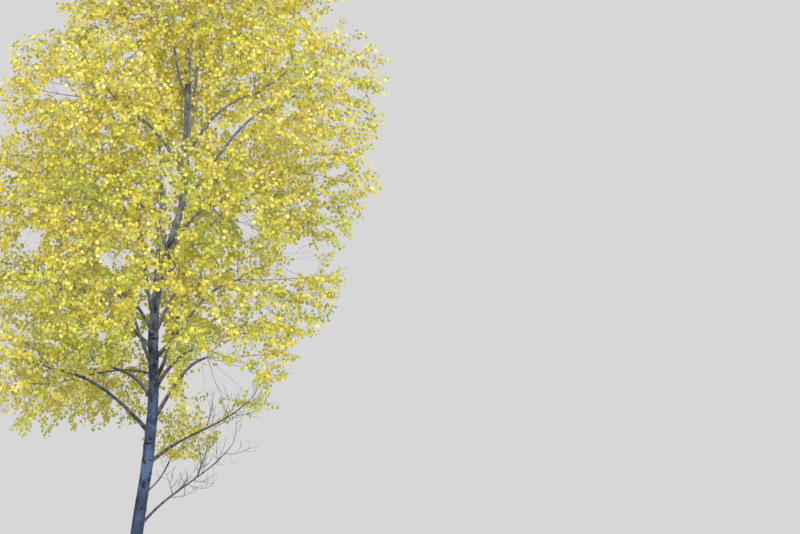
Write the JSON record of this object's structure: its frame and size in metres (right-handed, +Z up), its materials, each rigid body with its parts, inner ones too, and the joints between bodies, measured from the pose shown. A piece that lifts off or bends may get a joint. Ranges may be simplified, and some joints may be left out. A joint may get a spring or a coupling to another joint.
{
  "type": "poplar tree",
  "caption": "Young quaking poplar in yellow autumn leaf: a leaning stem with a second leader, boughs and open leafy masses.",
  "frame": {"origin": "middle of the flat cut under the trunk, at ground level", "axes": "+Z up, +X to the right of the picture's view, +Y away from its viewer"},
  "size_m": [5.2021, 4.656, 10.6242],
  "materials": {
    "bark": "smooth matt bark, lavender grey with dark scars",
    "lichened_bark": "rough matt bark of bare limbs, with pale lichen",
    "leaves": "thin autumn leaves, satin, yellow to greenish yellow"
  },
  "bodies": {
    "root": {"trunk": "bark", "second_leader": "bark", "bough_bare_left": "lichened_bark", "bough_bare_long": "lichened_bark", "bough_bare_right": "lichened_bark", "bough_high_back": "bark", "bough_high_front": "bark", "bough_high_left": "bark", "bough_high_right": "bark", "bough_low_back_left": "bark", "bough_low_back_right": "bark", "bough_low_front_right": "bark", "bough_low_left": "bark", "bough_lower_back_left": "bark", "bough_lower_back_right": "bark", "bough_lower_front_left": "bark", "bough_lower_front_right": "bark", "bough_lower_left": "bark", "bough_lower_right": "bark", "bough_middle_back_left": "bark", "bough_middle_back_right": "bark", "bough_middle_front_left": "bark", "bough_middle_front_right": "bark", "bough_middle_left": "bark", "bough_middle_right": "bark", "bough_shoot": "bark", "bough_upper_back": "bark", "bough_upper_front_left": "bark", "bough_upper_front_right": "bark", "bough_upper_left": "bark", "bough_upper_right": "bark", "leaves_high_back": "leaves", "leaves_high_front": "leaves", "leaves_high_left": "leaves", "leaves_high_right": "leaves", "leaves_inner_leader": "leaves", "leaves_low_back_left": "leaves", "leaves_low_back_right": "leaves", "leaves_low_front_right": "leaves", "leaves_low_left": "leaves", "leaves_low_shoot": "leaves", "leaves_lower_back_left": "leaves", "leaves_lower_back_right": "leaves", "leaves_lower_front_left": "leaves", "leaves_lower_front_right": "leaves", "leaves_lower_left": "leaves", "leaves_lower_right": "leaves", "leaves_middle_back_left": "leaves", "leaves_middle_back_right": "leaves", "leaves_middle_front_left": "leaves", "leaves_middle_front_right": "leaves", "leaves_middle_left": "leaves", "leaves_middle_right": "leaves", "leaves_top": "leaves", "leaves_upper_back": "leaves", "leaves_upper_front_left": "leaves", "leaves_upper_front_right": "leaves", "leaves_upper_left": "leaves", "leaves_upper_right": "leaves"}
  },
  "joints": []
}
